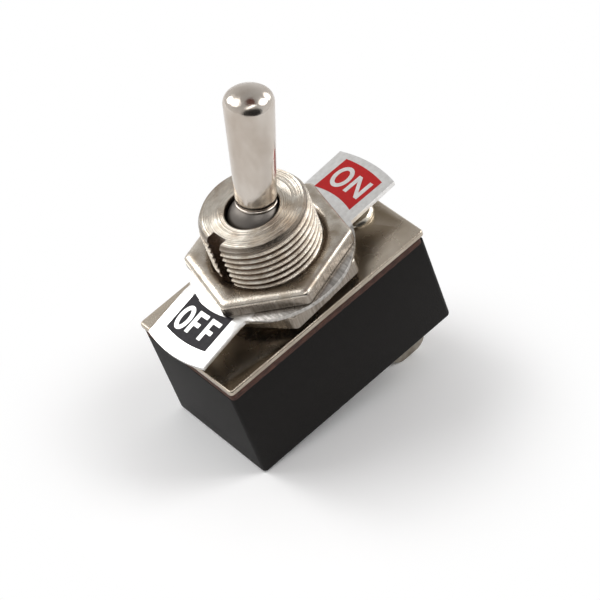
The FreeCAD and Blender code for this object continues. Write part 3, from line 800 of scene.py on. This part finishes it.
def lever_points():
    """A surface of revolution about the lever's axis, then leant over about the pivot. Its
    profile runs from the nose up the shank, round the ball, over the bead and up the straight
    taper, round a knuckle and over a flatter crown."""
    inset = LEVER_WIDE_R - KNUCKLE_R
    crown_z = LEVER_WIDE_UP + DOME_H - CROWN_R
    lean = math.degrees(math.atan2(LEVER_WIDE_UP - crown_z, inset))
    profile = np.vstack(
        [
            (0.0, -NOSE_END),
            (NOSE_FLAT_R, -NOSE_END),
            arc((0, -NOSE_ARM), NOSE_R, -47, 48, 10),
            (SHANK_R, -NOSE_ARM + NOSE_NECK),
            (SHANK_R, SHANK_TOP),
            BALL_FOOT,
            arc((0, 0), BALL_R, -39, 49, 22),
            BEAD_FOOT,
            arc(BEAD_MIDDLE, BEAD_ROUND, -90, 80, 8),
            GROOVE,
            np.linspace((LEVER_BASE_R, LEVER_BASE_UP), (LEVER_WIDE_R, LEVER_WIDE_UP), 24),
            arc((inset, LEVER_WIDE_UP), KNUCKLE_R, 4, lean, 10),
            arc((0, crown_z), CROWN_R, lean + 3, 90, 14),
        ]
    )
    radius, height = profile.T[:, :, None]
    around = np.linspace(0, 2 * np.pi, 128, endpoint=False)
    tilt = math.radians(LEVER_THROW)
    x, y, z = radius * np.cos(around), radius * np.sin(around), height + 0 * around
    return np.stack(
        [
            x * math.cos(tilt) + z * math.sin(tilt),
            y,
            PIVOT_Z + z * math.cos(tilt) - x * math.sin(tilt),
        ],
        axis=-1,
    )


def on_label(points, lift, middle, turn):
    """Carries flat points, outwards along a tab and across it, onto the plate at a lift. They
    turn about the middle of their print, past the OFF tab's bend they go down with it, and then
    all turn with the key."""
    c, s = math.cos(math.radians(turn)), math.sin(math.radians(turn))
    out, across = points[..., 0] - middle, points[..., 1]
    x, y = middle + out * c - across * s, out * s + across * c
    bend = math.radians(LABEL_BEND)
    away = x + LABEL_BEND_X
    past = away < 0
    px = np.where(past, -LABEL_BEND_X + away * math.cos(bend) - lift * math.sin(bend), x)
    pz = LABEL_TOP + np.where(past, away * math.sin(bend) + lift * math.cos(bend), lift)
    key = math.radians(KEY_TURN)
    return np.stack(
        [px * math.cos(key) - y * math.sin(key), px * math.sin(key) + y * math.cos(key), pz],
        axis=-1,
    )


def patch(name, sizes, side, turn):
    """A patch of ink: part of a flat ring between two radii, cut off at a half width. Rows run
    across the tab and columns outwards."""
    inner, outer, half = sizes
    across = np.linspace(-half, half, 25)[:, None] + np.zeros((1, 25))
    radius = np.linspace(inner, outer, 25)[None, :]
    flat = np.stack([side * np.sqrt(radius**2 - across**2), across], axis=-1)
    middle = side * (inner + outer) / 2
    top, bottom = (on_label(flat, lift, middle, turn) for lift in (INK_T, 0.0))
    return mesh_of(name, *slab(top, bottom, False))


def stroke(path, width, closed):
    """A flat band of even width along a path, as rows of two points: each point is pushed to
    both sides along the mean normal of its two runs, so that corners are mitred."""
    path = np.array(path, float)
    after = np.roll(path, -1, axis=0) - path
    before = path - np.roll(path, 1, axis=0)
    if not closed:
        after[-1], before[0] = before[-1], after[0]
    sides = []
    for run in (after, before):
        run = run / np.linalg.norm(run, axis=1, keepdims=True)
        sides.append(np.stack([-run[:, 1], run[:, 0]], axis=-1))
    mitre = sides[0] + sides[1]
    mitre /= np.linalg.norm(mitre, axis=1, keepdims=True)
    mitre /= (mitre * sides[0]).sum(axis=1, keepdims=True)
    return np.stack([path + mitre * width / 2, path - mitre * width / 2], axis=1)


def letter_bands(letter, wide, tall, weight):
    """The bands of a letter in a box from 0 to wide and 0 to tall, and whether each is closed.
    The slant of an N ends upright, along its two uprights."""
    if letter == "O":
        t = np.linspace(0, 2 * np.pi, 48, endpoint=False)
        ring = np.stack([1 + np.cos(t), 1 + np.sin(t)], axis=-1) * (wide / 2, tall / 2)
        return [(stroke(ring, weight, True), True)]
    if letter == "N":
        edge, reach = weight / 2, 1.5 * weight
        slant = [[(edge, tall), (edge, tall - reach)], [(wide - edge, reach), (wide - edge, 0)]]
        uprights = [stroke([(x, 0), (x, tall)], weight, False) for x in (0, wide)]
        return [(np.array(band), False) for band in (*uprights, slant)]
    bar = tall * 0.5
    paths = [(0, 0), (0, tall), (wide, tall)], [(weight / 2, bar), (wide * 0.8, bar)]
    return [(stroke(path, weight, False), False) for path in paths]


def word(name, letters_and_sizes, turn):
    """A word on a tab. Its letters stand with their tops towards +X and read towards -Y."""
    letters, middle, pitch, wide = letters_and_sizes
    points, faces, count = [], [], 0
    start = -pitch * (len(letters) - 1) / 2
    for k, letter in enumerate(letters):
        for band, closed in letter_bands(letter, wide, LETTER_TALL, LETTER_WEIGHT):
            along = start + k * pitch + band[..., 0] - wide / 2
            flat = np.stack([band[..., 1] - LETTER_TALL / 2 + middle, -along], axis=-1)
            top, bottom = (on_label(flat, lift, middle, turn) for lift in (LETTER_T, 0.0))
            more, quads = slab(top, bottom, closed)
            points.append(more)
            faces.append(quads + count)
            count += len(more)
    return mesh_of(name, np.concatenate(points), np.concatenate(faces))


nickel_turned = turned_nickel()
nickel_lever = lever_nickel()
aluminium = label_aluminium()
nickel_nuts = nut_nickel()
# Nickel on the stamped plate: smoother than the nuts, and dulled by a thin brown layer; along
# the front edge by OFF it is painted dark brown as a dark reflection.
nickel_plate = metal(
    "nickel_on_stamped_steel",
    "c6bbac",
    "b1a595",
    3.5,
    (0.22, 0.32),
    0.15,
    0.012,
    painted_dark_reflection=PLATE_DARK_REFLECTION,
)
# Thin eggshell inks. The red keeps its strength in shade, the black is a little violet.
ink_red = matt("red_ink", "a80d0e", "b31516", 0.4, 0.5, 0.004, shine=0.25)
ink_black = matt("black_ink", "201d22", "2c282d", 0.4, 0.5, 0.004, shine=0.25)
# Black phenolic: satin, with the fine sandy grain of its wood-flour filler.
phenolic = matt("black_phenolic_moulding", "100e0d", "1b1816", 0.14, 0.5, 0.02, shine=0.16)
# Red-brown vulcanised fibre: a punched edge with short pale and dark fibres along it.
fibre = matt("red_vulcanised_fibre", "2e1c17", "653f31", 0.3, 0.8, 0.08, (0.5, 0.5, 2.5))
# Brown phenolic inside, smoother than the case.
brown_phenolic = matt("brown_phenolic_moulding", "3d2b20", "5a4130", 0.2, 0.45, 0.01)
# Tin on the eyelets: the brightest metal, it catches the light in the label's shade.
eyelet_tin = metal("bright_tin_on_eyelets", "ece6da", "cfc3b0", 1.0, (0.16, 0.28), 0.2, 0.006)
# Tin on the lugs: grey and dull.
lug_tin = metal("dulled_tin_on_brass", "b5aea2", "8d8477", 1.2, (0.32, 0.46), 0.2, 0.008)
# Brass without plating: the one warm yellow, on the bridge and the rivets inside.
bare_brass = metal("bare_brass", "c7a55b", "a8853f", 1.6, (0.28, 0.4), 0.2, 0.008)
# Silver on the contacts: the palest metal, softly blurred.
silver = metal("contact_silver", "dcdad5", "bdb9b0", 1.0, (0.25, 0.38), 0.2, 0.008)
# Drawn steel on springs, ring and pin: a cool mid grey.
spring_steel = metal("drawn_steel", "b5b3ae", "95928c", 1.0, (0.25, 0.36), 0.2, 0.008)

for name, points, material, body, slot, node in (
    ("bushing_threaded", bushing_points(), nickel_turned, "base", "plated_brass", "bushing"),
    ("lever_turned", lever_points(), nickel_lever, "lever", "plated_brass", "lever"),
    (
        "top_nut_rounded",
        nut_points(LABEL_TOP, 0.0, TOP_NUT_TURN, *TOP_NUT_EDGES),
        nickel_nuts,
        "base",
        "plated_brass",
        "top_nut",
    ),
    (
        "lower_nut_rounded",
        nut_points(LOWER_NUT_BOTTOM, LABEL_BOTTOM, LOWER_NUT_TURN, *LOWER_NUT_EDGES),
        nickel_nuts,
        "base",
        "plated_steel",
        "lower_nut",
    ),
):
    finish_piece(name, surface(name, points), material, body, [node])

for node, edge_mm, material, slot in (
    ("label_plate", 0.06, aluminium, "label_aluminium"),
    ("frame_plate", 0.06, nickel_plate, "plated_steel"),
    ("gasket", 0.05, fibre, "gasket_fibre"),
    ("case", 0.1, phenolic, "case_moulding"),
    ("case_eyelets", 0.08, eyelet_tin, "eyelet_metal"),
    ("terminal_front", 0.08, lug_tin, "tinned_terminal"),
    ("terminal_rear", 0.08, lug_tin, "tinned_terminal"),
):
    dressed(node, edge_mm, material)

for name, mesh, material in (
    ("patch_on", patch("patch_on", ON_PATCH, 1, ON_PRINT_TURN), ink_red),
    ("patch_off", patch("patch_off", OFF_PATCH, -1, 0.0), ink_black),
    ("word_on", word("word_on", ON_WORD, ON_PRINT_TURN), aluminium),
    ("word_off", word("word_off", OFF_WORD, 0.0), aluminium),
):
    finish_piece(name, mesh, material, "base", [])

for node, material in {
    "ball_seat": brown_phenolic,
    "seat_spring": spring_steel,
    "retaining_ring": spring_steel,
    "pivot_pin": spring_steel,
    "carriage": brown_phenolic,
    "bridge_bar": bare_brass,
    "bridge_contacts": silver,
    "bridge_spring": spring_steel,
    "fixed_contacts": silver,
    "terminal_rivets": bare_brass,
}.items():
    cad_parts[node].data.materials.clear()
    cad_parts[node].data.materials.append(material)


# The middle of the tent's open front, which reaches from the table up past the camera, and the
# cosines from it between which the tent opens.
FRONT = (-0.39, -0.9, 0.1)
FRONT_FADES = (0.62, 0.85)
# The brown-red hole in the tent's roof, half its width and its soft rim, in degrees.
LENS = (0.286, -0.157, 0.945)
LENS_WIDE = 14
LENS_RIM = 3

# The camera's place and its axes.
CAMERA_AT = (-86.9, -200.52, 216.64)
CAMERA_RIGHT = (0.7349, -0.6236, -0.2664)
CAMERA_UP = (0.6181, 0.4545, 0.6414)
CAMERA_BACK = (-0.2789, -0.6360, 0.7195)

# The table leans against the part's frame: the switch lies on its case's far end and its lugs.
TABLE_NORMAL = (0.277, 0.0, 0.961)
TABLE_TOUCH = (-13.1, 0.0, -19.33)
# Between these distances from its middle the shadow's paper goes over to plain white.
SHADOW_MIDDLE = (-4.0, -1.0, -22.0)
SHADOW_FADES = (17, 34)
TABLE_ROWS = np.linspace(-0.08, 0.9, 9)
TABLE_COLUMNS = np.linspace(-0.7, 0.7, 11)
# How pale the table is to the lamps, mirrored in the metal, and to the camera.
TABLE_LIT = 0.8
TABLE_MIRRORED = 0.95
TABLE_SEEN = 1.06


def floor():
    """The table, whose front edge lies a hand's breadth before the switch. It is see-through
    from below, and paler to the camera and in the metal, so that it shows white but keeps its
    shadows. Away from the switch the camera sees it plain white."""
    normal = Vector(TABLE_NORMAL).normalized()
    along = Vector((0, 1, 0))
    across = normal.cross(along)
    rows = len(TABLE_ROWS)
    u, v = (grid.reshape(-1, 1) for grid in np.meshgrid(TABLE_ROWS, TABLE_COLUMNS))
    points = np.array(TABLE_TOUCH) * MM + u * np.array(along) + v * np.array(across)
    index = np.arange(len(points)).reshape(-1, rows)
    faces = np.stack([index[:-1, :-1], index[:-1, 1:], index[1:, 1:], index[1:, :-1]], axis=-1)
    mesh = bpy.data.meshes.new("table")
    mesh.from_pydata(points.tolist(), [], faces.reshape(-1, 4).tolist())
    if mesh.polygons[0].normal.dot(normal) < 0:
        mesh.flip_normals()
    table = bpy.data.objects.new("table", mesh)
    bpy.context.scene.collection.objects.link(table)
    material, tree, where = new_material("white_table")
    path = add_node(tree, "ShaderNodeLightPath").outputs
    mirrored = add_node(
        tree,
        "ShaderNodeMath",
        {0: path["Is Glossy Ray"], 1: path["Is Transmission Ray"]},
        operation="MAXIMUM",
    )
    level = add_node(
        tree, "ShaderNodeMix", {0: mirrored.outputs[0], 2: TABLE_LIT, 3: TABLE_MIRRORED}
    )
    seen = add_node(
        tree, "ShaderNodeMix", {0: path["Is Camera Ray"], 2: level.outputs[0], 3: TABLE_SEEN}
    )
    tint = add_node(
        tree,
        "ShaderNodeCombineColor",
        {0: seen.outputs[0], 1: seen.outputs[0], 2: seen.outputs[0]},
    )
    chalk = add_node(tree, "ShaderNodeBsdfDiffuse", {"Color": tint.outputs[0]})
    clear = add_node(tree, "ShaderNodeBsdfTransparent")
    behind = add_node(tree, "ShaderNodeNewGeometry").outputs["Backfacing"]
    middle = Vector(SHADOW_MIDDLE) * MM
    away = add_node(tree, "ShaderNodeVectorMath", {0: where, 1: middle}, operation="DISTANCE")
    far = add_node(
        tree,
        "ShaderNodeMapRange",
        {
            "Value": away.outputs["Value"],
            "From Min": SHADOW_FADES[0] * MM,
            "From Max": SHADOW_FADES[1] * MM,
        },
        interpolation_type="SMOOTHSTEP",
    )
    faded = add_node(
        tree,
        "ShaderNodeMath",
        {0: far.outputs[0], 1: path["Is Camera Ray"]},
        operation="MULTIPLY",
    )
    paper = add_node(tree, "ShaderNodeEmission", {"Color": (1, 1, 1, 1), "Strength": 1.0})
    upper = add_node(
        tree,
        "ShaderNodeMixShader",
        {0: faded.outputs[0], 1: chalk.outputs[0], 2: paper.outputs[0]},
    )
    both = add_node(
        tree, "ShaderNodeMixShader", {0: behind, 1: upper.outputs[0], 2: clear.outputs[0]}
    )
    add_node(tree, "ShaderNodeOutputMaterial", {"Surface": both.outputs[0]})
    mesh.materials.append(material)


def area_light(name, where, size, power, lights_matt=True):
    """A soft oval lamp, in metres and watts, that faces the switch, its first width level. A
    reflector card doesn't light matt surfaces, and only shows in the metal."""
    data = bpy.data.lights.new(name, "AREA")
    data.shape = "ELLIPSE"
    data.size, data.size_y = size
    data.energy = power
    lamp = bpy.data.objects.new(name, data)
    back = Vector(where).normalized()
    up = back.cross(Vector((1, 0, 0))).normalized()
    turn = Matrix((up.cross(back), up, back)).transposed().to_4x4()
    lamp.matrix_world = Matrix.Translation(where) @ turn
    lamp.visible_diffuse = lights_matt
    bpy.context.scene.collection.objects.link(lamp)


def world_light(wall, ceiling, opening):
    """A white tent whose ceiling is dimmer than its walls, with a brown-red hole in it, and
    whose front is open to a dark room. The camera itself sees it white."""
    world = bpy.data.worlds.new("tent")
    bpy.context.scene.world = world
    world.use_nodes = True
    tree = world.node_tree
    tree.nodes.clear()
    toward = add_node(tree, "ShaderNodeTexCoord").outputs["Generated"]
    height = add_node(
        tree, "ShaderNodeVectorMath", {0: toward, 1: TABLE_NORMAL}, operation="DOT_PRODUCT"
    )
    tent = add_node(
        tree,
        "ShaderNodeMapRange",
        {"Value": height.outputs["Value"], "To Min": wall, "To Max": ceiling},
    )
    aim = add_node(
        tree, "ShaderNodeVectorMath", {0: toward, 1: FRONT}, operation="DOT_PRODUCT"
    )
    hole = add_node(
        tree,
        "ShaderNodeMapRange",
        {
            "Value": aim.outputs["Value"],
            "From Min": FRONT_FADES[0],
            "From Max": FRONT_FADES[1],
        },
        interpolation_type="SMOOTHSTEP",
    )
    level = add_node(
        tree, "ShaderNodeMix", {0: hole.outputs[0], 2: tent.outputs[0], 3: opening}
    )
    from_lens = add_node(
        tree, "ShaderNodeVectorMath", {0: toward, 1: LENS}, operation="DOT_PRODUCT"
    )
    lens = add_node(
        tree,
        "ShaderNodeMapRange",
        {
            "Value": from_lens.outputs["Value"],
            "From Min": math.cos(math.radians(LENS_WIDE + LENS_RIM)),
            "From Max": math.cos(math.radians(LENS_WIDE)),
        },
    )
    seen = add_node(tree, "ShaderNodeLightPath").outputs["Is Camera Ray"]
    mirrored = add_node(
        tree, "ShaderNodeMath", {0: lens.outputs[0], 1: seen}, operation="SUBTRACT", use_clamp=True
    )
    tint = add_node(
        tree,
        "ShaderNodeMix",
        {0: mirrored.outputs[0], 6: (1, 1, 1, 1), 7: colour("8a5a50")},
        data_type="RGBA",
    )
    strength = add_node(tree, "ShaderNodeMix", {0: seen, 2: level.outputs[0], 3: 1.0})
    background = add_node(
        tree, "ShaderNodeBackground", {"Color": tint.outputs[2], "Strength": strength.outputs[0]}
    )
    add_node(tree, "ShaderNodeOutputWorld", {"Surface": background.outputs[0]})


def camera():
    """The photograph's view, fitted to the case's edges and the bushing's circles."""
    data = bpy.data.cameras.new("camera")
    data.sensor_width = 36.0
    data.lens = 180.0
    data.clip_start, data.clip_end = 0.01, 10.0
    view = bpy.data.objects.new("camera", data)
    turn = Matrix((CAMERA_RIGHT, CAMERA_UP, CAMERA_BACK)).transposed().to_4x4()
    view.matrix_world = Matrix.Translation(Vector(CAMERA_AT) * MM) @ turn
    bpy.context.scene.collection.objects.link(view)
    bpy.context.scene.camera = view


floor()
world_light(wall=0.85, ceiling=0.5, opening=0.03)
area_light("back_left_box", (-0.17, 0.27, 0.51), (0.38, 0.38), 1.0)
area_light("low_back_box", (-0.12, 0.48, 0.34), (0.26, 0.26), 0.8)
area_light("right_box", (0.47, -0.25, 0.29), (0.36, 0.36), 1.1)
area_light("low_right_card", (0.56, 0.0, 0.10), (0.26, 0.26), 0.5, lights_matt=False)
area_light("front_card", (0.0, -0.28, 0.53), (0.46, 0.12), 0.5, lights_matt=False)
camera()
bpy.context.scene.view_settings.view_transform = "Standard"
